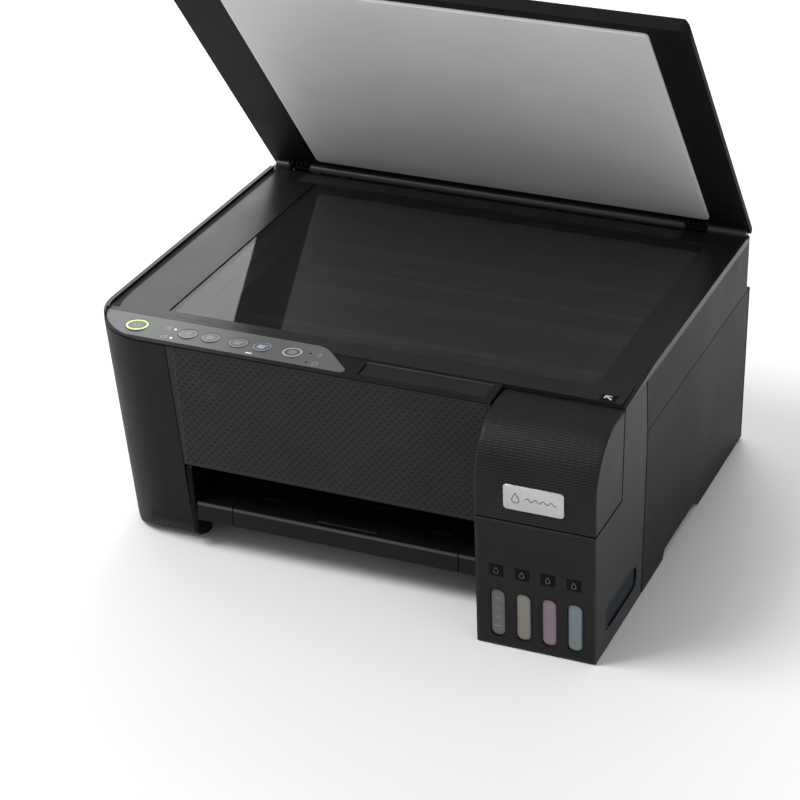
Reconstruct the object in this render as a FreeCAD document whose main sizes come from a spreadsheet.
"""Ink-tank printer with a flatbed scanner: a jointed assembly of separate solids.

Frame: millimetres, +X to the right seen from the front, +Y to the rear, +Z up.  The floor is
Z = 0 and the origin is at the centre of the footprint.  The document lid stands open.
"""
import FreeCAD, Part
import math
import os
import re
import Sketcher

doc = FreeCAD.newDocument("Printer")
V = FreeCAD.Vector

# ---------------------------------------------------------------- driving dimensions
DIMENSIONS = [
    # outer envelope
    ("width", 375.0), ("depth", 347.0), ("closed_height", 179.0),
    # walls, seams and running clearances
    ("wall", 2.5), ("seam", 0.6), ("play", 0.4), ("shaft_play", 0.05), ("foot_height", 3.0),
    # scanner bed: rim, glass and the split from the printer body
    ("rim_height", 168.5), ("rim_drop", 1.9), ("glass_drop", 2.7), ("glass_thick", 3.0),
    ("split_height", 124.0), ("lip_width", 3.0), ("glass_width", 303.9), ("glass_depth", 240.5),
    ("glass_right_rim", 26.3), ("glass_back_rim", 32.5), ("rim_front", 54.5), ("scanner_back", 4.9),
    ("frame_thick", 5.3), ("panel_front", 30.5), ("panel_back", 61.3), ("chin_height", 163.2),
    ("panel_thick", 1.6), ("panel_length", 194.0), ("panel_margin", 1.8), ("panel_fall", 0.08),
    ("chin_width", 4.0), ("bed_floor", 138.0),
    # leaning front of the body
    ("front_top", 162.6), ("lean", 0.137), ("side_lean", 0.037), ("corner_radius", 45.0),
    ("edge_radius", 20.0), ("left_front", 63.0), ("panel_bottom", 68.5), ("split_start", 103.5),
    ("split_slant", 0.15),
    # ink tank unit
    ("tank_width", 81.6), ("tank_lean", 0.078), ("tank_front_height", 124.0), ("cover_seam", 97.7),
    ("cover_top", 163.4), ("cover_depth", 53.9), ("cover_radius", 38.0), ("unit_depth", 104.0),
    ("tank_margin", 11.6), ("tank_first", 14.8), ("tank_gap", 1.9), ("tank_height", 82.0),
    ("window_width", 10.2), ("window_low", 7.4), ("window_high", 44.2), ("unit_floor", 0.8),
    ("cap_thick", 6.0), ("cap_length", 34.0),
    # print mechanism
    ("plate_inset", 11.0), ("plate_thick", 1.5), ("feed_y", 62.0), ("feed_z", 48.0),
    ("feed_radius", 7.0), ("axle_radius", 4.0), ("gear_module", 1.0), ("gear_thick", 5.0),
    ("pinch_radius", 4.0), ("eject_radius", 6.5), ("pickup_radius", 16.0), ("paper_gap", 0.3),
    ("paper_width", 216.0), ("rod_y", 25.0), ("rod_z", 92.0), ("rod_radius", 4.0),
    ("carriage_width", 60.0), ("belt_y", 48.0), ("belt_z", 96.0),
    ("pulley_radius", 6.0), ("belt_thick", 1.2), ("belt_height", 6.0), ("platen_top", 54.0),
    # output tray
    ("tray_top", 38.6), ("tray_front_height", 14.5), ("tray_depth", 92.0), ("tray_plate", 2.5),
    ("extension_left", 100.0), ("extension_width", 165.0),
    # rear paper feed
    ("support_hinge", 98.0), ("support_top", 157.0), ("support_thick", 4.0), ("feed_lean", 33.0),
    ("feed_entry", 112.0), ("feed_half", 116.0),
    # lid
    ("lid_open", 48.8), ("lid_back", 7.5), ("lid_clear", 0.5), ("lid_front", 60.5), ("lid_skin", 2.0),
    ("lid_rear", 0.8), ("pad_left", 40.3), ("pad_right", 28.2), ("pad_start", 9.2), ("pad_margin", 8.0),
    ("lid_back_round", 6.2), ("lid_edge_round", 8.0), ("hinge_left", 15.5), ("hinge_right", 46.5),
    ("hinge_width", 14.0),
]

dims = doc.addObject("Spreadsheet::Sheet", "Dims")
for row, (alias, value) in enumerate(DIMENSIONS, start=1):
    dims.set("A%d" % row, alias)
    dims.set("B%d" % row, "%g" % value)
    dims.setAlias("B%d" % row, alias)
doc.recompute()
ALIASES = set(alias for alias, value in DIMENSIONS)


def link(text):
    """An expression on the sheet, from a text that names its aliases."""
    def named(match):
        word = match.group(0)
        return "Dims." + word if word in ALIASES else word
    return re.sub(r"[A-Za-z_][A-Za-z_0-9]*", named, str(text))


def val(text):
    """The present value of such a text, in millimetres or degrees."""
    numbers = {alias: float(dims.get(alias)) for alias in ALIASES
               if re.search(r"\b%s\b" % alias, str(text))}
    total = re.sub(r"[A-Za-z_][A-Za-z_0-9]*", lambda m: "(%r)" % numbers[m.group(0)], str(text))
    return float(FreeCAD.Units.Quantity(total.replace(" ", "")).Value)


def bind(thing, **sizes):
    """Binds properties of an object to the sheet."""
    for path, text in sizes.items():
        thing.setExpression(path.replace("__", "."), link(text))


# Named places, all worked out from the sheet
LEFT, RIGHT = "(-width / 2)", "(width / 2)"
FRONT, BACK = "(-depth / 2)", "(depth / 2)"
PANEL_Y = "(-depth / 2 + panel_front)"
TANK_X = "(width / 2 - tank_width)"
SLOT_X = "(-width / 2 + left_front)"
TANK_PITCH = "((tank_width - tank_margin) / 4)"
GLASS_X1 = "(width / 2 - glass_right_rim)"
GLASS_X0 = "(width / 2 - glass_right_rim - glass_width)"
GLASS_Y1 = "(depth / 2 - glass_back_rim)"
GLASS_Y0 = "(depth / 2 - glass_back_rim - glass_depth)"
SCAN_BACK = "(depth / 2 - scanner_back)"
PLATE_L = "(-width / 2 + plate_inset)"
PLATE_R = "(width / 2 - plate_inset - 2)"
UNIT_Y = "(-depth / 2 + unit_depth)"
HINGE_Y = "(depth / 2 - lid_back)"
HINGE_Z = "(rim_height - 0.8)"

SUBPARTS = {}


def keep(node, thing):
    """Registers an object as a finished sub-part under its own label."""
    thing.Label = node
    SUBPARTS[node] = thing
    return thing


# ---------------------------------------------------------------- small builders
counter = [0]


def fresh(stem):
    counter[0] += 1
    return "%s_%03d" % (stem, counter[0])


def block(x0, x1, y0, y1, z0, z1):
    """A box between two corners, each side an expression on the sheet."""
    thing = doc.addObject("Part::Box", fresh("block"))
    bind(thing, Length="(%s) - (%s)" % (x1, x0), Width="(%s) - (%s)" % (y1, y0),
         Height="(%s) - (%s)" % (z1, z0))
    bind(thing, Placement__Base__x=x0, Placement__Base__y=y0, Placement__Base__z=z0)
    return thing


TURN = {"x": FreeCAD.Rotation(V(0, 1, 0), 90), "y": FreeCAD.Rotation(V(1, 0, 0), -90),
        "z": FreeCAD.Rotation()}


def rod(axis, radius, low, high, first, second):
    """A cylinder along an axis; first and second are its two other coordinates, in order."""
    thing = doc.addObject("Part::Cylinder", fresh("rod"))
    thing.Placement = FreeCAD.Placement(V(0, 0, 0), TURN[axis])
    bind(thing, Radius=radius, Height="(%s) - (%s)" % (high, low))
    places = {"x": (low, first, second), "y": (first, low, second), "z": (first, second, low)}[axis]
    bind(thing, Placement__Base__x=places[0], Placement__Base__y=places[1], Placement__Base__z=places[2])
    return thing


def fuse(*things):
    thing = doc.addObject("Part::MultiFuse", fresh("fuse"))
    thing.Shapes = list(things)
    return thing


def cut(base, *tools):
    thing = doc.addObject("Part::Cut", fresh("cut"))
    thing.Base = base
    thing.Tool = tools[0] if len(tools) == 1 else fuse(*tools)
    return thing


def common(first, second):
    thing = doc.addObject("Part::Common", fresh("common"))
    thing.Base = first
    thing.Tool = second
    return thing


def solid(shape):
    """A document object that holds a shape made with Part's own functions."""
    thing = doc.addObject("Part::Feature", fresh("solid"))
    thing.Shape = shape
    return thing


def prism(points, axis, low, high, bulges=None):
    """A polygon carried along an axis. points are pairs in the other two axes, in order; bulges
    names corners, by index, that are rounded with a radius."""
    corners = [V(*{"x": (low, a, b), "y": (a, low, b), "z": (a, b, low)}[axis]) for a, b in points]
    edges = rounded_edges(corners, bulges or {})
    run = {"x": V(high - low, 0, 0), "y": V(0, high - low, 0), "z": V(0, 0, high - low)}[axis]
    return Part.Face(Part.Wire(edges)).extrude(run)


def rounded_edges(corners, radii):
    """Lines round a closed polygon, with a tangent arc at each corner that has a radius."""
    count = len(corners)
    starts, ends, arcs = [], [], []
    for index, here in enumerate(corners):
        before = (corners[index - 1] - here).normalize()
        after = (corners[(index + 1) % count] - here).normalize()
        radius = radii.get(index, 0.0)
        if radius <= 0:
            starts.append(here)
            ends.append(here)
            arcs.append(None)
            continue
        half = before.getAngle(after) / 2.0
        reach = radius / math.tan(half)
        bisector = (before + after).normalize()
        centre = here + bisector * (radius / math.sin(half))
        starts.append(here + before * reach)
        ends.append(here + after * reach)
        arcs.append(centre - bisector * radius)
    edges = []
    for index in range(count):
        if arcs[index] is not None:
            edges.append(Part.Arc(starts[index], arcs[index], ends[index]).toShape())
        tail = ends[index]
        head = starts[(index + 1) % count]
        if tail.distanceToPoint(head) > 1e-6:
            edges.append(Part.LineSegment(tail, head).toShape())
    return edges


def body(stem):
    """A PartDesign body with its three origin planes by role."""
    thing = doc.addObject("PartDesign::Body", fresh(stem))
    doc.recompute()
    planes = {feature.Role: feature for feature in thing.Origin.OriginFeatures}
    return thing, planes


def sketch_on(thing, plane, offset="0"):
    """A sketch on one of a body's own origin planes, lifted off it by a bound distance."""
    sketch = thing.newObject("Sketcher::SketchObject", fresh("sketch"))
    sketch.AttachmentSupport = [(plane, "")]
    sketch.MapMode = "FlatFace"
    bind(sketch, AttachmentOffset__Base__z=offset)
    return sketch


def circle_on(sketch, radius, across, up):
    """A circle whose radius is bound to the sheet, centred at two plain coordinates."""
    index = sketch.addGeometry(Part.Circle(V(across, up, 0), V(0, 0, 1), val(radius)), False)
    sketch.addConstraint(Sketcher.Constraint("Radius", index, val(radius)))
    name = "radius_%d" % index
    sketch.renameConstraint(sketch.ConstraintCount - 1, name)
    sketch.setExpression("Constraints." + name, link(radius))
    return index


def disc_body(radius, x, y, low, thick, fillet="0"):
    """A round plate: a sketched circle, padded upwards, with its top edge rounded."""
    thing, planes = body("disc")
    sketch = sketch_on(thing, planes["XY_Plane"], low)
    circle_on(sketch, radius, 0.0, 0.0)
    pad = thing.newObject("PartDesign::Pad", fresh("pad"))
    pad.Profile = sketch
    bind(pad, Length=thick)
    doc.recompute()
    if val(fillet) > 0:
        top = max(range(len(pad.Shape.Edges)), key=lambda i: pad.Shape.Edges[i].CenterOfMass.z)
        rounding = thing.newObject("PartDesign::Fillet", fresh("fillet"))
        rounding.Base = (pad, ["Edge%d" % (top + 1)])
        bind(rounding, Radius=fillet)
    bind(thing, Placement__Base__x=x, Placement__Base__y=y)
    return thing


def slab_body(x0, x1, y0, y1, z0, z1, radius=0.0):
    """A flat plate: a sketched rectangle with rounded corners, padded upwards."""
    thing, planes = body("slab")
    sketch = sketch_on(thing, planes["XY_Plane"], z0)
    wide, deep = val("(%s) - (%s)" % (x1, x0)), val("(%s) - (%s)" % (y1, y0))
    corners = [V(0, 0, 0), V(wide, 0, 0), V(wide, deep, 0), V(0, deep, 0)]
    for edge in rounded_edges(corners, {i: radius for i in range(4)}):
        curve = edge.Curve
        if edge.Curve.TypeId == "Part::GeomLine":
            sketch.addGeometry(Part.LineSegment(edge.Vertexes[0].Point, edge.Vertexes[1].Point), False)
        else:
            middle = edge.valueAt((edge.FirstParameter + edge.LastParameter) / 2.0)
            arc = Part.Arc(edge.Vertexes[0].Point, middle, edge.Vertexes[1].Point)
            sketch.addGeometry(arc, False)
    pad = thing.newObject("PartDesign::Pad", fresh("pad"))
    pad.Profile = sketch
    bind(pad, Length="(%s) - (%s)" % (z1, z0))
    bind(thing, Placement__Base__x=x0, Placement__Base__y=y0)
    return thing


def turned_body(y, z, stations):
    """A shaft turned about X: stations are (from x, to x, radius) in order along it."""
    thing, planes = body("turned")
    sketch = sketch_on(thing, planes["XZ_Plane"])
    outline = [(val(stations[0][0]), 0.0)]
    for low, high, radius in stations:
        outline += [(val(low), val(radius)), (val(high), val(radius))]
    outline.append((val(stations[-1][1]), 0.0))
    points = [V(a, b, 0) for a, b in outline]
    for first, second in zip(points, points[1:] + points[:1]):
        if first.distanceToPoint(second) > 1e-6:
            sketch.addGeometry(Part.LineSegment(first, second), False)
    spin = thing.newObject("PartDesign::Revolution", fresh("spin"))
    spin.Profile = sketch
    spin.ReferenceAxis = (sketch, ["H_Axis"])
    spin.Angle = 360.0
    bind(thing, Placement__Base__y=y, Placement__Base__z=z)
    return thing


# ---------------------------------------------------------------- leaning casing
def lean_y(z):
    """Front face of the body at a height: it leans back towards the floor."""
    return val(PANEL_Y) + (val("front_top") - z) * val("lean")


def casing_solid(inset, side_lean):
    """The body as one leaning block, shrunk by an inset: front-left corner round in plan, lower
    left and lower front edges round."""
    top, low = val("front_top"), val("foot_height") - 2 + inset
    left, right = val(LEFT) + inset, val(RIGHT) - inset
    front, back = val(PANEL_Y) + inset, val(BACK) + 60.0
    plan = [(left, front), (right, front), (right, back), (left, back)]
    corners = [V(x, y, top) for x, y in plan]
    outline = Part.Wire(rounded_edges(corners, {0: val("corner_radius") - inset}))
    drop = top - low
    shear = V(drop * side_lean, drop * val("lean"), -drop)
    shape = Part.Face(outline).extrude(shear)
    radius = val("edge_radius") - inset
    foot_x = left + drop * side_lean
    square = Part.makeBox(radius + 40, 800, radius + 40, V(foot_x - 40, -400, low - 40))
    disc = Part.makeCylinder(radius, 800, V(foot_x + radius, -400, low + radius), V(0, 1, 0))
    keep_in = Part.makeBox(400, 800, 400, V(foot_x + radius, -400, low))
    if side_lean > 0:
        shape = shape.cut(square.cut(disc).cut(keep_in))
    foot_y = lean_y(low) + inset
    square = Part.makeBox(800, radius + 40, radius + 40, V(-400, foot_y - 40, low - 40))
    disc = Part.makeCylinder(radius, 800, V(-400, foot_y + radius, low + radius), V(1, 0, 0))
    keep_in = Part.makeBox(800, 400, 400, V(-400, foot_y + radius, low))
    return shape.cut(square.cut(disc).cut(keep_in))


def casing_shell(side_lean):
    return casing_solid(0.0, side_lean).cut(casing_solid(val("wall"), side_lean))


def seam_x(z):
    """Seam between the left cover and the front panel: it leans with the left cover."""
    return val(SLOT_X) - 0.3 + (val("front_top") - z) * val("side_lean")


def left_cover():
    """Left side with the round front corner, and the cheek that closes the paper slot's end."""
    far, top, split = val(BACK) - 2.9, val("front_top"), val("split_height")
    start, slant = val(FRONT) + val("split_start"), val("split_slant")
    side = [(-400, -5), (far, -5), (far, split), (start, split),
            (start - slant * (top - split), top), (-400, top)]
    region = prism(side, "x", -400, 0)
    front = [(-400, -5), (seam_x(-5), -5), (seam_x(top), top), (-400, top)]
    shape = casing_shell(val("side_lean")).common(region).common(prism(front, "y", -400, 400))
    cheek = [(seam_x(0) - 2.2, -5), (seam_x(0), -5), (seam_x(top), top), (seam_x(top) - 2.2, top)]
    casing = casing_solid(val("wall") - 0.01, val("side_lean"))
    wall = prism(cheek, "y", -400, val(FRONT) + 77.0).common(casing)
    wall = wall.common(Part.makeBox(800, 800, val("panel_bottom") - 5.0, V(-400, -400, 8.0)))
    shape = shape.fuse(wall)
    floor_x = val(LEFT) + (top - 1.0) * val("side_lean") + val("edge_radius")
    shape = shape.cut(Part.makeBox(200, 800, 6.0, V(floor_x, val(FRONT) + 77.0, 0.0)))
    top_edge = Part.makeBox(400, 400, 60, V(-400, -400, top - 0.2))
    keep("left_cover", solid(shape.cut(top_edge).removeSplitter()))


def front_panel():
    """Leaning front panel between the left cover and the ink tank unit."""
    low, top, seam = val("panel_bottom"), val("front_top"), val("seam")
    right = val(TANK_X) - seam
    outline = [(seam_x(low) + seam, low), (right, low), (right, top), (seam_x(top) + seam, top)]
    plate = casing_shell(0.0).common(prism(outline, "y", -400, val(FRONT) + 60.0))
    low_y = lean_y(low)
    return_lip = Part.makeBox(right - seam_x(low) - seam, 9.0, 2.0, V(seam_x(low) + seam, low_y + 0.3, low))
    keep("front_panel", solid(plate.fuse(return_lip).removeSplitter()))


def right_cover():
    """Right side behind the ink tank unit, with the raised carrying grip at its foot."""
    split, back = "split_height", "(depth / 2 - 2.9)"
    skin = block("width / 2 - wall", RIGHT, UNIT_Y + " + seam", back, "1", split)
    foot = block("width / 2 - 9", "width / 2 - wall", UNIT_Y + " + seam + 3", back, "1", "3.4")
    grip = [(val(FRONT) + 150, 0), (val(FRONT) + 156, 7.4), (val(FRONT) + 225, 7.4), (val(FRONT) + 237, 0)]
    notch = solid(prism(grip, "x", val(RIGHT) - 20, val(RIGHT) + 5))
    keep("right_cover", cut(fuse(skin, foot), notch))


def rear_cover():
    """Rear wall with the paper entry, the power inlet opening and the cable socket opening."""
    low = block("-width / 2 + 6.6", "width / 2", "depth / 2 - wall", BACK, "1", "support_hinge - 3")
    wings = [block("-width / 2 + 3", "-feed_half - 2", "depth / 2 - wall", BACK, "support_hinge - 3.5",
                   "split_height"),
             block("feed_half + 2", RIGHT, "depth / 2 - wall", BACK, "support_hinge - 3.5", "split_height")]
    inlet = block("-width / 2 + 37.2", "-width / 2 + 62.8", "depth / 2 - 20", "depth / 2 + 5", "29.7", "50.3")
    socket = block("width / 2 - 52.8", "width / 2 - 39.2", "depth / 2 - 20", "depth / 2 + 5", "24.7", "36.8")
    slots = [block("%d" % x, "%d + 3.5" % x, "depth / 2 - 9", "depth / 2 + 5", "62", "84")
             for x in range(-28, 29, 8)]
    keep("rear_cover", cut(fuse(low, *wings), inlet, socket, *slots))


def base_frame():
    """Floor of the printer with its stiffening walls; the front rises under the output tray."""
    z0 = val("foot_height")
    front, back = val(FRONT) + 106.0, val(BACK) - 3.2
    left, right = val(LEFT) + 27.0, val(RIGHT) - 10.0
    floor = Part.makeBox(right - left, back - front, 2.4, V(left, front, z0))
    bow = [(front, z0), (front, z0 + 2.4), (front - 26.0, 20.4), (front - 28.0, 18.2)]
    bow_x0, bow_x1 = seam_x(0) + 1.0, val(TANK_X) - 1.0
    shape = floor.fuse(prism(bow, "x", bow_x0, bow_x1))
    for y in (front + 4.0, front + 60.0, front + 120.0, back - 2.0):
        shape = shape.fuse(Part.makeBox(right - left, 2.0, 10.0, V(left, y, z0)))
    for x in (left, left + 84.0, left + 220.0, right - 2.0):
        shape = shape.fuse(Part.makeBox(2.0, back - front, 10.0, V(x, front, z0)))
    keep("base_frame", solid(shape.removeSplitter()))


def rubber_feet():
    """Four round feet under the corners of the floor."""
    feet = []
    for x in ("-width / 2 + 38", "width / 2 - 32"):
        for y in ("-depth / 2 + 122", "depth / 2 - 22"):
            feet.append(rod("z", "8", "0", "foot_height", x, y))
    keep("rubber_feet", fuse(*feet))


def mains_and_signal_parts():
    """Power supply, main board, inlet and cable socket."""
    keep("power_supply", block("-width / 2 + 30", "-width / 2 + 75", "depth / 2 - 61", "depth / 2 - 24",
                               "14", "34"))
    board = block("width / 2 - 78", "width / 2 - 17", "depth / 2 - 92", "depth / 2 - 20", "15", "16.6")
    chips = [block("width / 2 - %d" % (74 - 18 * i), "width / 2 - %d" % (62 - 18 * i),
                   "depth / 2 - 70", "depth / 2 - 54", "16.4", "19") for i in range(3)]
    keep("main_board", fuse(board, *chips))
    shell = block("-width / 2 + 37.5", "-width / 2 + 62.5", "depth / 2 - 19", "depth / 2 - 0.6", "30", "50")
    mouth = block("-width / 2 + 40", "-width / 2 + 60", "depth / 2 - 15", "depth / 2 + 2", "33", "47")
    pins = [rod("y", "1.1", "depth / 2 - 15.5", "depth / 2 - 5", "-width / 2 + %g" % x, "40")
            for x in (45.5, 54.5)]
    keep("power_inlet", fuse(cut(shell, mouth), *pins))
    shell = block("width / 2 - 52.5", "width / 2 - 39.5", "depth / 2 - 18", "depth / 2 - 0.6", "25", "36.5")
    mouth = block("width / 2 - 50.2", "width / 2 - 41.8", "depth / 2 - 11", "depth / 2 + 2", "27", "34.8")
    tongue = block("width / 2 - 47.7", "width / 2 - 44.3", "depth / 2 - 11.5", "depth / 2 - 4",
                   "32.4", "33.8")
    keep("usb_port", fuse(cut(shell, mouth), tongue))


# ---------------------------------------------------------------- ink tank unit
def unit_front(z):
    """Front face of the ink tank unit at a height."""
    return val(FRONT) + max(0.0, val("tank_front_height") - z) * val("tank_lean")


def unit_profile(inset, low, high, back):
    """Side outline of the leaning unit between two heights."""
    return [(unit_front(low) + inset, low), (unit_front(high) + inset, high), (back, high), (back, low)]


def tank_window(index):
    """A tank's front window: centre X."""
    return val(TANK_X) + val("tank_first") + index * val(TANK_PITCH)


def tank_housing():
    """Housing of the ink tanks: a leaning box, open above, with four windows and a side window."""
    wall, low, high = val("wall") - 0.5, val("unit_floor"), val("cover_seam")
    x0, x1, back = val(TANK_X), val(RIGHT) - 0.3, val(UNIT_Y)
    outer = prism(unit_profile(0.0, low, high, back), "x", x0, x1)
    inner = prism(unit_profile(wall, low + wall, high + 30, back - wall), "x", x0 + wall, x1 - wall)
    shape = outer.cut(inner)
    top, start, slant = val("front_top"), val(UNIT_Y), val("split_slant")
    split = val("split_height")
    pillar = [(val(FRONT) + val("cover_depth") + val("seam"), high - 1), (start, high - 1), (start, split),
              (start - slant * (top - split), top), (val(FRONT) + val("cover_depth") + val("seam"), top)]
    shape = shape.fuse(prism(pillar, "x", x1 - wall, x1))
    screen_y = val(FRONT) + val("cover_depth") + val("seam")
    shape = shape.fuse(Part.makeBox(x1 - x0, wall, top - high + 1, V(x0, screen_y, high - 1)))
    half = val("window_width") / 2.0
    w_low, w_high = val("window_low"), val("window_high")
    for index in range(4):
        x = tank_window(index)
        slot = [(x - half, w_low), (x + half, w_low), (x + half, w_high), (x - half, w_high)]
        round_ends = {i: half - 0.6 for i in range(4)}
        shape = shape.cut(prism(slot, "y", val(FRONT) - 5, val(FRONT) + 14, round_ends))
    leaf = [(-31, 14.5), (31, 14.5), (31, 31.5), (-31, 31.5)]
    leaf = [(y + val(FRONT) + 60.5, z) for y, z in leaf]
    shape = shape.cut(prism(leaf, "x", x1 - 4, x1 + 2, {0: 3.0, 1: 8.0, 2: 3.0, 3: 8.0}))
    keep("tank_housing", solid(shape.removeSplitter()))


COLOURS = ["black", "yellow", "magenta", "cyan"]


def ink_tanks():
    """Four hollow tanks side by side, each with a filler neck under its cap."""
    wall, body_w = 1.4, val(TANK_PITCH) - val("tank_gap")
    low = val("unit_floor") + val("wall")
    back = val(UNIT_Y) - 26.0
    for index, colour in enumerate(COLOURS):
        x = tank_window(index)
        x0, x1 = x - body_w / 2, x + body_w / 2
        high = val("tank_height")
        outer = prism(unit_profile(val("wall") + 0.1, low, high, back), "x", x0, x1)
        inner = prism(unit_profile(val("wall") + 0.1 + wall, low + wall, high - wall, back - wall),
                      "x", x0 + wall, x1 - wall)
        neck_y = val(FRONT) + 30.0
        neck = Part.makeCylinder(4.2, 7.0, V(x, neck_y, high - 1.5))
        bore = Part.makeCylinder(2.6, 12.0, V(x, neck_y, high - 3.0))
        keep("ink_tank_" + colour, solid(outer.cut(inner).fuse(neck).cut(bore).removeSplitter()))


def tank_caps():
    """Four filler caps, each with its sealing disc, hinged at the rear end."""
    z0 = "tank_height + 7"
    for index, colour in enumerate(COLOURS):
        x = "(%s + tank_first + %d * %s)" % (TANK_X, index, TANK_PITCH)
        y0 = "(-depth / 2 + 14)"
        plate = block(x + " - 7", x + " + 7", y0, y0 + " + cap_length", z0, z0 + " + cap_thick - 2")
        disc = rod("z", "4.4", "tank_height + 5.8", z0 + " + 1", x, "-depth / 2 + 30")
        knuckle = rod("x", "2.4", x + " - 7", x + " + 7", y0 + " + cap_length", z0 + " + 2.2")
        keep("tank_cap_" + colour, fuse(plate, disc, knuckle))


def tank_cover():
    """Flip cover of the ink tank unit: flat top, round shoulder, straight front."""
    low, top = val("cover_seam") + val("seam"), val("cover_top")
    back, thick = val(FRONT) + val("cover_depth"), 2.2
    x0, x1 = val(TANK_X), val(RIGHT) - 0.3

    def outline(inset, base):
        points = [(unit_front(low) + inset, base), (val(FRONT) + inset, val("tank_front_height")),
                  (val(FRONT) + inset, top - inset), (back - inset * 0.9, top - inset), (back - inset * 0.9, base)]
        return points

    outer = prism(outline(0.0, low), "x", x0, x1, {2: val("cover_radius")})
    inner = prism(outline(thick, low - 5), "x", x0 + thick, x1 - thick, {2: val("cover_radius") - thick})
    keep("tank_cover", solid(outer.cut(inner).removeSplitter()))


# ---------------------------------------------------------------- print mechanism
def involute_gear(teeth, thick, phase_deg, x0, y, z, bore):
    """A spur gear on the X axis. phase is the direction, in the YZ plane from +Y, of one tooth's
    middle. The flanks are straight from root to tip, thinned for backlash."""
    module = val("gear_module")
    pitch_r = module * teeth / 2.0
    tip, root = pitch_r + 0.85 * module, pitch_r - 1.15 * module
    pitch = 2 * math.pi / teeth
    wide, narrow = pitch * 0.33, pitch * 0.13
    points = []
    for index in range(teeth):
        middle = math.radians(phase_deg) + index * pitch
        for radius, angle in ((root, middle - wide), (tip, middle - narrow), (tip, middle + narrow),
                              (root, middle + wide)):
            points.append(V(x0, y + radius * math.cos(angle), z + radius * math.sin(angle)))
    wheel = Part.Face(Part.makePolygon(points + points[:1])).extrude(V(thick, 0, 0))
    return wheel.cut(Part.makeCylinder(bore, thick + 2, V(x0 - 1, y, z), V(1, 0, 0)))


FEED_TEETH, PINION_TEETH, IDLER_TEETH, EJECT_TEETH, PICKUP_TEETH = 60, 16, 32, 40, 38


def gear_places():
    """Centres of the five gears in the YZ plane, one meshing with the next."""
    module, y, z = val("gear_module"), val("feed_y"), val("feed_z")

    def step(start, first, second, angle):
        reach = module * (first + second) / 2.0
        turn = math.radians(angle)
        return (start[0] + reach * math.cos(turn), start[1] + reach * math.sin(turn))

    feed = (y, z)
    pinion = step(feed, FEED_TEETH, PINION_TEETH, 30.0)
    pickup = step(pinion, PINION_TEETH, PICKUP_TEETH, -10.0)
    idler = step(feed, FEED_TEETH, IDLER_TEETH, 180.0)
    eject = step(idler, IDLER_TEETH, EJECT_TEETH, 180.0)
    return {"feed": feed, "pinion": pinion, "pickup": pickup, "idler": idler, "eject": eject}


def mesh_phase(first_teeth, first_phase, second_teeth, direction):
    """Tooth direction of a gear that meshes with another one lying at the given direction."""
    first_pitch, second_pitch = 360.0 / first_teeth, 360.0 / second_teeth
    slip = ((direction - first_phase) / first_pitch) % 1.0
    return direction + 180.0 + slip * second_pitch + second_pitch / 2.0


def gear_train():
    """Feed, pinion, idler, eject and pick-up gears with their shafts and rollers."""
    place = gear_places()
    x0 = val(PLATE_L) + 3.0
    thick, axle, play = val("gear_thick"), val("axle_radius"), val("shaft_play")
    feed_phase = 30.0
    pinion_phase = mesh_phase(FEED_TEETH, feed_phase, PINION_TEETH, 30.0)
    pickup_phase = mesh_phase(PINION_TEETH, pinion_phase, PICKUP_TEETH, -10.0)
    idler_phase = mesh_phase(FEED_TEETH, feed_phase, IDLER_TEETH, 180.0)
    eject_phase = mesh_phase(IDLER_TEETH, idler_phase, EJECT_TEETH, 180.0)
    keep("feed_gear", solid(involute_gear(FEED_TEETH, thick, feed_phase, x0, *place["feed"], axle)))
    pinion = involute_gear(PINION_TEETH, thick, pinion_phase, x0, *place["pinion"], 1.5)
    keep("motor_pinion", solid(pinion))
    idler = involute_gear(IDLER_TEETH, thick, idler_phase, x0, *place["idler"], 3.0 + play)
    keep("idler_gear", solid(idler))
    ends = (val(PLATE_L) - 1.0, val(PLATE_R) + val("plate_thick") + 1.0)
    for node, teeth, phase, radius, tyres in (
            ("eject_roller", EJECT_TEETH, eject_phase, val("eject_radius"), 7),
            ("pickup_roller", PICKUP_TEETH, pickup_phase, val("pickup_radius"), 2)):
        y, z = place[node.split("_")[0]]
        shaft = Part.makeCylinder(axle - 1.0, ends[1] - ends[0], V(ends[0], y, z), V(1, 0, 0))
        shape = shaft.fuse(involute_gear(teeth, thick, phase, x0, y, z, axle - 1.5))
        span = val("paper_width") - 36.0
        middle = (val(SLOT_X) + val(TANK_X)) / 2.0
        for index in range(tyres):
            x = middle - span / 2.0 + span * index / (tyres - 1.0)
            if node == "pickup_roller":
                x = middle - 30.0 + 60.0 * index
            shape = shape.fuse(Part.makeCylinder(radius, 12.0, V(x - 6.0, y, z), V(1, 0, 0)))
        keep(node, solid(shape.removeSplitter()))


def feed_roller():
    """Long feed roller with the two journals that run in the side plates."""
    slot_l, slot_r = SLOT_X + " - 6", TANK_X + " + 6"
    stations = [(PLATE_L + " - 1", slot_l, "axle_radius"), (slot_l, slot_r, "feed_radius"),
                (slot_r, PLATE_R + " + plate_thick + 1", "axle_radius")]
    keep("feed_roller", turned_body("feed_y", "feed_z", stations))
    height = "feed_z + feed_radius + pinch_radius + paper_gap"
    stations = [(SLOT_X + " - 9", SLOT_X, "1.5")]
    for index in range(6):
        start = "(%s + %d * (width - left_front - tank_width - 30) / 5 + 2)" % (SLOT_X, index)
        stations += [(start, start + " + 22", "pinch_radius"), (start + " + 22", start + " + 26", "1.5")]
    cleaned = []
    for low, high, radius in stations:
        if cleaned and abs(val(cleaned[-1][1]) - val(low)) > 1e-6:
            cleaned.append((cleaned[-1][1], low, "1.5"))
        cleaned.append((low, high, radius))
    keep("pinch_rollers", turned_body("feed_y", height, cleaned))


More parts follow.
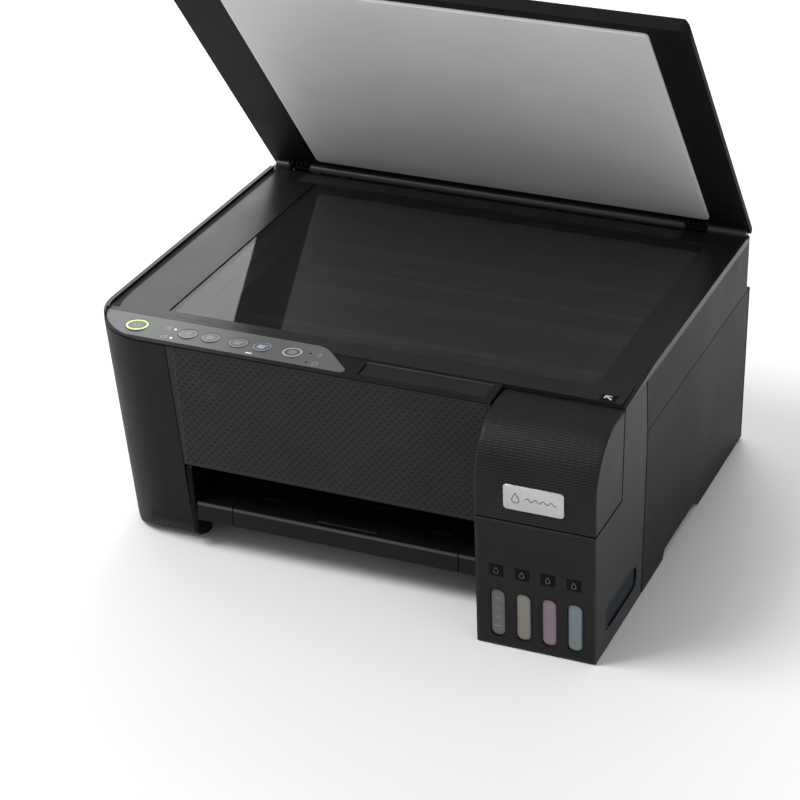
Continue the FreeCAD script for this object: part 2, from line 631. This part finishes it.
def feed_motor():
    """Stepping motor behind the pinion, with its shaft through the side plate gap."""
    y, z = gear_places()["pinion"]
    x = val(PLATE_L) + 3.0
    can = Part.makeCylinder(14.0, 26.0, V(x + 8.0, y, z), V(1, 0, 0))
    shaft = Part.makeCylinder(1.5 - val("shaft_play"), 9.0, V(x + 0.5, y, z), V(1, 0, 0))
    ground = val("foot_height") + 2.4
    foot = Part.makeBox(2.0, 34.0, z - ground, V(x + 8.0, y - 17.0, ground))
    keep("feed_motor", solid(can.fuse(shaft).fuse(foot).removeSplitter()))


def main_frame():
    """Sheet-metal chassis: two side plates, the carriage web, and the idler gear's post."""
    place = gear_places()
    thick, play, axle = val("plate_thick"), val("shaft_play"), val("axle_radius")
    left, right = val(PLATE_L), val(PLATE_R)
    low = val("foot_height") + 10.0
    shape = None
    for x in (left, right):
        plate = Part.makeBox(thick, 196.0, 112.0 - low, V(x, val("feed_y") - 106.0, low))
        shape = plate if shape is None else shape.fuse(plate)
    web = Part.makeBox(right - left, thick, 36.0, V(left, val("feed_y"), 82.0))
    flange = Part.makeBox(right - left, 16.0, thick, V(left, val("feed_y") - 14.5, 116.5))
    post = Part.makeCylinder(3.0, 9.0, V(left + 1.0, *place["idler"]), V(1, 0, 0))
    shape = shape.fuse(web).fuse(flange).fuse(post)
    for (y, z), radius in ((place["feed"], axle), (place["eject"], axle - 1.0), (place["pickup"], axle - 1.0),
                           ((val("rod_y"), val("rod_z")), val("rod_radius"))):
        shape = shape.cut(Part.makeCylinder(radius + play, 800, V(-400, y, z), V(1, 0, 0)))
    arm_z = val("feed_z + feed_radius + pinch_radius + paper_gap")
    arms = None
    slot_l, slot_r = val(SLOT_X), val(TANK_X)
    for x in (slot_l - 8.0, slot_r - 3.5):
        arm = Part.makeBox(3.0, 8.0, 82.5 - arm_z + 3.0, V(x, val("feed_y") - 4.0, arm_z - 3.0))
        arms = arm if arms is None else arms.fuse(arm)
    arms = arms.cut(Part.makeCylinder(1.5 + play, 800, V(-400, val("feed_y"), arm_z), V(1, 0, 0)))
    keep("main_frame", solid(shape.fuse(arms).removeSplitter()))


def carriage_parts():
    """Guide rod, print carriage with its head, belt, pulleys, motor and encoder strip."""
    home = "(width / 2 - 18)"
    keep("guide_rod", rod("x", "rod_radius", PLATE_L + " - 0.5", PLATE_R + " + plate_thick + 0.5",
                          "rod_y", "rod_z"))
    x0, x1 = home + " - carriage_width", home
    case = block(x0, x1, "rod_y - 15", "rod_y + 12.5", "platen_top + 16", "rod_z + 12")
    bore = rod("x", "rod_radius + shaft_play", x0 + " - 5", x1 + " + 5", "rod_y", "rod_z")
    clip = block(x0 + " + 20", x1 + " - 20", "rod_y + 11.5", "belt_y - pulley_radius - 1.8",
                 "belt_z - 5", "belt_z + 5")
    keep("print_carriage", cut(fuse(case, clip), bore))
    keep("print_head", block(x0 + " + 6", x1 + " - 6", "rod_y - 12", "rod_y + 10",
                             "platen_top + 1.6", "platen_top + 16"))
    centre_l, centre_r = "(-width / 2 + 30)", "(width / 2 - 24)"
    r_in, r_out = "(pulley_radius + 0.3)", "(pulley_radius + 0.3 + belt_thick)"
    low, high = "belt_z - belt_height / 2", "belt_z + belt_height / 2"
    outer = fuse(rod("z", r_out, low, high, centre_l, "belt_y"),
                 rod("z", r_out, low, high, centre_r, "belt_y"),
                 block(centre_l, centre_r, "belt_y - " + r_out, "belt_y + " + r_out, low, high))
    inner = fuse(rod("z", r_in, low + " - 1", high + " + 1", centre_l, "belt_y"),
                 rod("z", r_in, low + " - 1", high + " + 1", centre_r, "belt_y"),
                 block(centre_l, centre_r, "belt_y - " + r_in, "belt_y + " + r_in, low + " - 1", high + " + 1"))
    keep("carriage_belt", cut(outer, inner))
    for node, x in (("drive_pulley", centre_l), ("idler_pulley", centre_r)):
        wheel = rod("z", "pulley_radius", low, high, x, "belt_y")
        hub = rod("z", "1.2 + shaft_play", low + " - 2", high + " + 2", x, "belt_y")
        keep(node, cut(wheel, hub))
    can = rod("z", "9.5", "62", "86", centre_l, "belt_y")
    pin = rod("z", "1.2", "85", high, centre_l, "belt_y")
    keep("carriage_motor", fuse(can, pin))


def platen_and_cap():
    """Ribbed platen under the print head and the capping station at the home end."""
    x0, x1 = SLOT_X + " - 3", TANK_X + " + 1"
    deck = block(x0, x1, "feed_y - 55", "feed_y - 14", "platen_top - 6", "platen_top - 2")
    ribs = []
    for index in range(12):
        x = "%s + 6 + %d * (width - left_front - tank_width - 14) / 11" % (SLOT_X, index)
        ribs.append(block(x, x + " + 1.6", "feed_y - 55", "feed_y - 14", "platen_top - 3", "platen_top"))
    keep("platen", fuse(deck, *ribs))
    home0, home1 = "(width / 2 - 18 - carriage_width + 8)", "(width / 2 - 18 - 8)"
    tub = block(home0, home1, "rod_y - 12", "rod_y + 10", "24", "platen_top + 1")
    well = block(home0 + " + 3", home1 + " - 3", "rod_y - 9", "rod_y + 7",
                 "platen_top - 12", "platen_top + 4")
    keep("capping_station", cut(tub, well))


# ---------------------------------------------------------------- paper path: tray and rear feed
def output_tray():
    """Fixed tray: two decks with a sunk floor between them for the sliding extension."""
    x0, x1 = seam_x(20) + 4.8, val(TANK_X) - 2.5
    e0 = val(LEFT) + val("extension_left")
    e1 = e0 + val("extension_width")
    y0 = lean_y(val("tray_top"))
    y1, top = y0 + val("tray_depth"), val("tray_top")
    low, play = top - val("tray_front_height"), val("play")
    floor = Part.makeBox(x1 - x0, y1 - y0 - 6.0, 2.0, V(x0, y0 + 6.0, low))
    shape = floor
    for a, b in ((x0, e0 - play), (e1 + play, x1)):
        deck = Part.makeBox(b - a, y1 - y0, val("tray_plate"), V(a, y0, top - val("tray_plate")))
        lip = Part.makeBox(b - a, 2.5, val("tray_front_height"), V(a, y0, low))
        foot = Part.makeBox(b - a, 7.0, 2.0, V(a, y0, low))
        inner_x = a if a > x0 else b - 2.0
        rail = Part.makeBox(2.0, y1 - y0, top - low, V(inner_x, y0, low))
        shape = shape.fuse(deck).fuse(lip).fuse(foot).fuse(rail)
    for x in (x0 + 20.0, x1 - 24.0):
        ground = val("foot_height") + 2.4
        post = Part.makeBox(3.0, 23.0, low - ground + 0.1, V(x, y1 - 27.0, ground))
        shape = shape.fuse(post)
    keep("output_tray", solid(shape.removeSplitter()))


def tray_extension():
    """Sliding extension with its own front, and the flip-up stop sunk flush in its top."""
    e0 = val(LEFT) + val("extension_left")
    e1 = e0 + val("extension_width")
    y0 = lean_y(val("tray_top"))
    y1, top = y0 + val("tray_depth") - 3.0, val("tray_top")
    low = top - val("tray_front_height")
    plate = Part.makeBox(e1 - e0, y1 - y0, 4.5, V(e0, y0, top - 4.5))
    lip = Part.makeBox(e1 - e0, 2.5, top - low, V(e0, y0, low))
    skids = None
    for x in (e0 + 1.0, e1 - 4.0):
        skid = Part.makeBox(3.0, y1 - y0 - 8.0, top - 4.0 - (low + 2.4), V(x, y0 + 8.0, low + 2.4))
        skids = skid if skids is None else skids.fuse(skid)
    middle = (e0 + e1) / 2.0
    pocket = Part.makeBox(44.8, 34.0, 3.0, V(middle - 22.4, y0 + 4.6, top - 2.6))
    shape = plate.fuse(lip).fuse(skids).cut(pocket)
    for side in (-1, 1):
        corner = V(middle + side * 62.0 - 8.0, y0 + 10.0, top - 1.6)
        shape = shape.cut(Part.makeBox(16.0, 12.0, 1.6, corner))
    keep("tray_extension", solid(shape.removeSplitter()))
    flap = Part.makeBox(44.0, 28.0, 2.0, V(middle - 22.0, y0 + 6.4, top - 2.2))
    barrel = Part.makeCylinder(1.0, 44.0, V(middle - 22.0, y0 + 6.4, top - 1.2), V(1, 0, 0))
    keep("tray_stop", solid(flap.fuse(barrel).removeSplitter()))


def rear_paths():
    """Leaning feed deck, edge guide, paper support and its pull-out extension."""
    lean = math.radians(val("feed_lean"))
    along = V(0, -math.sin(lean), -math.cos(lean))
    behind = V(0, math.cos(lean), -math.sin(lean))
    entry = V(0, val(BACK) - 3.4, val("feed_entry") - 5.2)
    x0, x1 = -val("feed_half") + 2.0, val("feed_half") - 2.0

    def plate(a, b, near, far, xa, xb):
        corners = [entry + along * a + behind * near, entry + along * b + behind * near,
                   entry + along * b + behind * far, entry + along * a + behind * far]
        points = [(c.y, c.z) for c in corners]
        return prism(points, "x", xa, xb)

    deck = plate(6.0, 84.0, 0.0, 2.0, x0, x1)
    base_z = val("foot_height") + 2.4
    for x in (x0 + 8.0, x1 - 11.0):
        leg = entry + along * 70.0
        deck = deck.fuse(Part.makeBox(3.0, 12.0, leg.z - base_z + 4.0, V(x, leg.y, base_z)).cut(
            plate(-20, 120, -60.0, 0.5, x - 5, x + 8)))
    keep("rear_feeder", solid(deck.removeSplitter()))
    guide = plate(8.0, 38.0, -9.0, -0.4, x1 - 8.0, x1 - 5.5).fuse(plate(8.0, 38.0, -1.9, -0.4, x1 - 24.0, x1 - 5.5))
    keep("edge_guide", solid(guide.removeSplitter()))
    low, high = "support_hinge", "support_top"
    plate_box = block("-feed_half", "feed_half", "depth / 2 - support_thick", BACK, low, high)
    barrel = rod("x", "1.2", "-feed_half", "feed_half", "depth / 2 - 1.2", "support_hinge")
    pocket = block("-61", "61", "depth / 2 - support_thick + 1.1", "depth / 2 - support_thick + 2.9",
                   "support_hinge + 6", high + " + 2")
    keep("paper_support", cut(fuse(plate_box, barrel), pocket))
    keep("support_extension", slab_body("-60", "60", "depth / 2 - support_thick + 1.3",
                                        "depth / 2 - support_thick + 2.7", "support_hinge + 8", "support_top - 0.4"))


# ---------------------------------------------------------------- scanner unit
def unit_outline(inset, low, high):
    """Block over the whole plan of the scanner unit, with its round front-left corner."""
    left, right = val(LEFT) + inset, val(RIGHT) - inset
    front, back = val(PANEL_Y) + inset, val(SCAN_BACK) - inset
    plan = [V(left, front, low), V(right, front, low), V(right, back, low), V(left, back, low)]
    edges = rounded_edges(plan, {0: val("corner_radius") - inset, 2: 5.0, 3: 5.0})
    return Part.Face(Part.Wire(edges)).extrude(V(0, 0, high - low))


def span_box(x0, x1, y0, y1, z0, z1):
    return Part.makeBox(x1 - x0, y1 - y0, z1 - z0, V(x0, y0, z0))


def panel_z(y):
    """Top plane of the control panel: it falls gently towards the front."""
    return val("rim_height - rim_drop") + (y - val(FRONT) - val("panel_back")) * val("panel_fall")


def panel_blank(grow, low, high):
    """Plan of the control panel as a block: follows the round corner and ends in a slant."""
    front = val(PANEL_Y) + val("chin_width") - grow
    back = val(FRONT) + val("panel_back") + grow
    left, right = val(LEFT) - 10.0, val(LEFT) + val("panel_length") + grow
    plan = [V(left, front, low), V(right, front, low), V(right - 27.0, back, low), V(left, back, low)]
    blank = Part.Face(Part.Wire(rounded_edges(plan, {1: 3.0, 2: 16.0}))).extrude(V(0, 0, high - low))
    return blank.common(unit_outline(val("panel_margin") - grow, low, high))


def above_panel(offset):
    """Everything above the sloping panel plane, lifted by an offset."""
    y0, y1 = val(FRONT), val(FRONT) + 100.0
    return prism([(y0, panel_z(y0) + offset), (y1, panel_z(y1) + offset), (y1, 300.0), (y0, 300.0)],
                 "x", val(LEFT) - 20, val(RIGHT) + 20)


def hinge_starts():
    """Left ends of the two lid hinge blocks."""
    return val(LEFT) + val("hinge_left"), val(RIGHT) - val("hinge_right")


def scanner_frame():
    """Bed frame: a rim round the glass with a raised lip at both sides, and the glass ledge."""
    top, rim = val("rim_height"), val("rim_height - rim_drop")
    front, lip, play = val(FRONT) + val("rim_front"), val("lip_width"), 0.25
    low = top - val("frame_thick")
    left, right, back = val(LEFT), val(RIGHT), val(SCAN_BACK)
    x0, x1, y0, y1 = val(GLASS_X0), val(GLASS_X1), val(GLASS_Y0), val(GLASS_Y1)
    shape = unit_outline(0.0, low, top).common(span_box(left - 5, right + 5, front, back + 5, low - 5, top + 5))
    inner = unit_outline(lip, rim, top + 5).fuse(span_box(left + lip, right - lip, back - 30, back + 5, rim, top + 5))
    inner = inner.fuse(span_box(left + 60, right - lip, front - 5, front + 30, rim, top + 5))
    inner = inner.fuse(span_box(left - 5, right + 5, val(HINGE_Y) - 8.0, back + 5, rim, top + 5))
    shape = shape.cut(inner)
    under = val("rim_height - glass_drop - glass_thick")
    ledge = span_box(x0 - 7, x1 + 7, y0 - 7, y1 + 7, under - 2.0, low + 0.5)
    shelf = span_box(x0 + 2, x1 - 2, y0 + 2, y1 - 2, under - 5, low + 5)
    seat = span_box(x0 - play, x1 + play, y0 - play, y1 + play, under, top + 5)
    shape = shape.fuse(ledge).cut(shelf).cut(seat)
    for start in hinge_starts():
        shape = shape.cut(span_box(start - 1.0, start + val("hinge_width") + 1.0, val(HINGE_Y) - 6.5, back + 5,
                                   under, top + 5))
    slope = prism([(front - 5, rim - 3.0), (front + 60, top + 0.01), (front - 5, top + 2)], "x",
                  right - lip - 0.01, right + 1)
    shape = shape.cut(slope).cut(panel_blank(0.3, low - 5, top + 5))
    keep("scanner_frame", solid(shape.removeSplitter()))
    keep("scanner_glass", slab_body(GLASS_X0, GLASS_X1, GLASS_Y0, GLASS_Y1,
                                    "rim_height - glass_drop - glass_thick", "rim_height - glass_drop"))


def scanner_tub():
    """Tub under the bed: deep behind the side covers, shallow between them at the front."""
    top = val("rim_height - frame_thick")
    low, slant = val("split_height") + val("seam"), val("split_slant")
    start = val(FRONT) + val("split_start") + val("seam")
    left, right, back = val(LEFT), val(RIGHT), val(SCAN_BACK)
    side = [(start, low), (back, low), (back, top), (start - slant * (top - low), top)]
    inner = [(start + 2.5, low + 2.4), (back - 2.5, low + 2.4), (back - 2.5, top + 5),
             (start + 2.5 - slant * (top + 5 - low), top + 5)]
    skin = prism(side, "x", left, right).common(unit_outline(0.0, low - 5, top + 5))
    front, floor = val(FRONT) + val("rim_front") + 4.5, val("bed_floor")
    bay = span_box(left + 9.5, right - 5.0, front, start + 4.0, floor, top)
    bay_in = span_box(left + 12.0, right - 7.5, front + 2.4, start + 8.0, floor + 2.4, top + 5)
    return skin.cut(prism(inner, "x", left + 2.5, right - 2.5)).fuse(bay).cut(bay_in)


def scanner_chin():
    """Front lip of the unit: seat of the control panel, and the finger scoop beside it."""
    chin, rim = val("chin_height"), val("rim_height - rim_drop")
    left, right = val(LEFT), val(TANK_X) - 0.8
    front, rim_y = val(PANEL_Y), val(FRONT) + val("rim_front")
    shape = unit_outline(0.0, chin, rim).common(span_box(left - 5, right, front - 5, rim_y, chin, rim))
    shape = shape.fuse(panel_blank(0.0, chin, rim)).cut(above_panel(0.0))
    shape = shape.cut(panel_blank(0.2, chin, rim + 5).common(above_panel(-val("panel_thick") - 0.1)))
    web = span_box(left + 18.0, right - 6.0, rim_y - 6.0, rim_y + 6.8, chin - 2.4, chin)
    shape = shape.fuse(web)
    scoop_l = val(LEFT) + val("panel_length") + 5.0
    scoop = prism([(front + 3.5, rim + 4), (front + 6.0, chin - 1.2), (rim_y - 3.5, chin - 1.2),
                   (rim_y - 0.8, rim + 4)], "x", scoop_l, right - 5.0)
    return shape.cut(scoop)


def scanner_housing():
    """Tub and chin of the scanner unit in one moulding, with a well under each key."""
    shape = scanner_tub().fuse(scanner_chin())
    for node, x, y, radius in PANEL_BUTTONS:
        shape = shape.cut(Part.makeCylinder(radius + 1.0, 12.0, V(x, y, val("chin_height") - 1.4)))
    keep("scanner_housing", solid(shape.removeSplitter()))


BUTTON_Y = val(FRONT) + val("panel_back") - 13.8
PANEL_BUTTONS = [
    ("power_button", val(LEFT) + 34.2, BUTTON_Y, 7.9),
    ("network_button", val(LEFT) + 72.1, BUTTON_Y, 6.6),
    ("status_button", val(LEFT) + 88.7, BUTTON_Y + 0.4, 6.6),
    ("mono_copy_button", val(LEFT) + 109.1, BUTTON_Y, 6.6),
    ("colour_copy_button", val(LEFT) + 126.1, BUTTON_Y + 0.4, 6.6),
    ("stop_button", val(LEFT) + 148.0, BUTTON_Y + 0.2, 6.9),
]


def control_panel():
    """Sloping control panel with a hole for each key, and the keys."""
    thick = val("panel_thick")
    shape = panel_blank(0.0, val("chin_height") - 5, val("rim_height") + 5)
    shape = shape.common(above_panel(-thick)).cut(above_panel(0.0))
    for node, x, y, radius in PANEL_BUTTONS:
        shape = shape.cut(Part.makeCylinder(radius + 0.15, 40, V(x, y, 150)))
    keep("control_panel", solid(shape.removeSplitter()))
    for node, x, y, radius in PANEL_BUTTONS:
        top = panel_z(y) + 0.15
        keep(node, disc_body("%g" % radius, "%g" % x, "%g" % y, "%g" % (top - 1.9), "1.9", "0.3"))


def scan_parts():
    """Scan carriage that spans the bed and the rail it runs on."""
    y0, y1 = "(depth / 2 - glass_back_rim - glass_depth + 3)", "(depth / 2 - glass_back_rim - 3)"
    rail_y, rail_z = "(depth / 2 - glass_back_rim - 60)", "134"
    keep("scan_rail", rod("x", "3", "-width / 2 + 2.5", "width / 2 - 2.5", rail_y, rail_z))
    x0 = "(width / 2 - glass_right_rim - glass_width + 4)"
    bar = block(x0, x0 + " + 26", y0, y1, "bed_floor + 3.4", "rim_height - glass_drop - glass_thick - 0.6")
    shoe = block(x0 + " - 1", x0 + " + 27", rail_y + " - 9", rail_y + " + 9", "129", "143")
    bore = rod("x", "3 + shaft_play", x0 + " - 5", x0 + " + 35", rail_y, rail_z)
    lens = block(x0 + " + 11", x0 + " + 15", y0 + " + 3", y1 + " - 3", "rim_height - glass_drop - glass_thick - 1.8",
                 "rim_height - glass_drop - glass_thick + 1")
    keep("scan_carriage", cut(fuse(bar, shoe), fuse(bore, lens)))


# ---------------------------------------------------------------- lid
def lid_parts():
    """Document lid, its pad and the two ribbed hinge blocks, all turned open about the hinge."""
    hinge_y, hinge_z = val(HINGE_Y), val(HINGE_Z)
    low, top = val("rim_height") + val("lid_clear"), val("closed_height")
    front = val(FRONT) + val("lid_front")
    back = hinge_y + val("lid_rear")
    left, right = val(LEFT), val(RIGHT)
    skin = val("lid_skin")
    corners = [V(left, front, low), V(right, front, low), V(right, back, low), V(left, back, low)]
    slab = Part.Face(Part.Wire(rounded_edges(corners, {0: 8.0, 1: 8.0}))).extrude(V(0, 0, top - low))
    edge = val("lid_edge_round")
    across = [(left, low), (right, low), (right, top), (left, top)]
    along = [(front, low), (back, low), (back, top), (front, top)]
    slab = slab.common(prism(across, "y", front - 5, back + 5, {2: edge, 3: edge}))
    slab = slab.common(prism(along, "x", left - 5, right + 5, {2: val("lid_back_round"), 3: 2.0}))
    hollow = Part.makeBox(right - left - 2 * edge, back - front - 2 * edge, top - low - 2 * skin,
                          V(left + edge, front + edge, low + skin))
    notches = None
    for start in hinge_starts():
        notch = Part.makeBox(val("hinge_width") + 3.0, 12.0, 5.5, V(start - 1.5, hinge_y - 7.0, low - 1))
        notches = notch if notches is None else notches.fuse(notch)
    lid = slab.cut(hollow).cut(notches)
    x0, x1 = left + val("pad_left"), right - val("pad_right")
    y0, y1 = front + val("pad_margin"), hinge_y - val("pad_start") - 6.0
    pad_low = val("rim_height - rim_drop") + 0.25
    corners = [V(x0, y0, pad_low), V(x1, y0, pad_low), V(x1, y1, pad_low), V(x0, y1, pad_low)]
    pad = Part.Face(Part.Wire(rounded_edges(corners, {i: 3.0 for i in range(4)}))).extrude(V(0, 0, low - pad_low))
    hinges = None
    turn = FreeCAD.Placement(V(0, 0, 0), FreeCAD.Rotation(V(1, 0, 0), -val("lid_open")), V(0, hinge_y, hinge_z))
    for a in hinge_starts():
        leaf = Part.makeBox(14.0, 10.0, 3.4, V(a, hinge_y - 6.0, low + 0.7))
        arm = Part.makeBox(14.0, 5.0, 4.0, V(a, hinge_y - 2.5, hinge_z - 1.0))
        for index in range(4):
            arm = arm.fuse(Part.makeBox(1.6, 9.0, 5.0, V(a + 0.6 + index * 3.6, hinge_y - 5.5, hinge_z - 1.5)))
        piece = leaf.fuse(arm).fuse(Part.makeCylinder(2.5, 14.0, V(a, hinge_y, hinge_z), V(1, 0, 0)))
        hinges = piece if hinges is None else hinges.fuse(piece)
    for node, shape in (("lid_cover", lid), ("document_pad", pad), ("lid_hinges", hinges)):
        thing = solid(shape.removeSplitter())
        thing.Placement = turn
        keep(node, thing)


# ---------------------------------------------------------------- build and write
left_cover()
front_panel()
right_cover()
rear_cover()
base_frame()
rubber_feet()
mains_and_signal_parts()
tank_housing()
ink_tanks()
tank_caps()
tank_cover()
gear_train()
feed_roller()
feed_motor()
main_frame()
carriage_parts()
platen_and_cap()
output_tray()
tray_extension()
rear_paths()
scanner_frame()
scanner_housing()
control_panel()
scan_parts()
lid_parts()
doc.recompute()

for thing in doc.Objects:
    faults = [state for state in thing.State if state in ("Invalid", "Error")]
    if faults:
        raise RuntimeError("%s (%s) is %s" % (thing.Name, thing.Label, faults))
for node, thing in SUBPARTS.items():
    if thing.Shape.isNull() or not thing.Shape.isValid() or thing.Shape.Volume <= 0:
        raise RuntimeError("%s has no valid shape" % node)

os.makedirs("parts", exist_ok=True)
for node, thing in SUBPARTS.items():
    thing.Shape.exportStep("parts/%s.step" % node)
print("%d sub-parts" % len(SUBPARTS))
for name, (y, z) in gear_places().items():
    print("gear %s at y %.4f z %.4f" % (name, y, z))
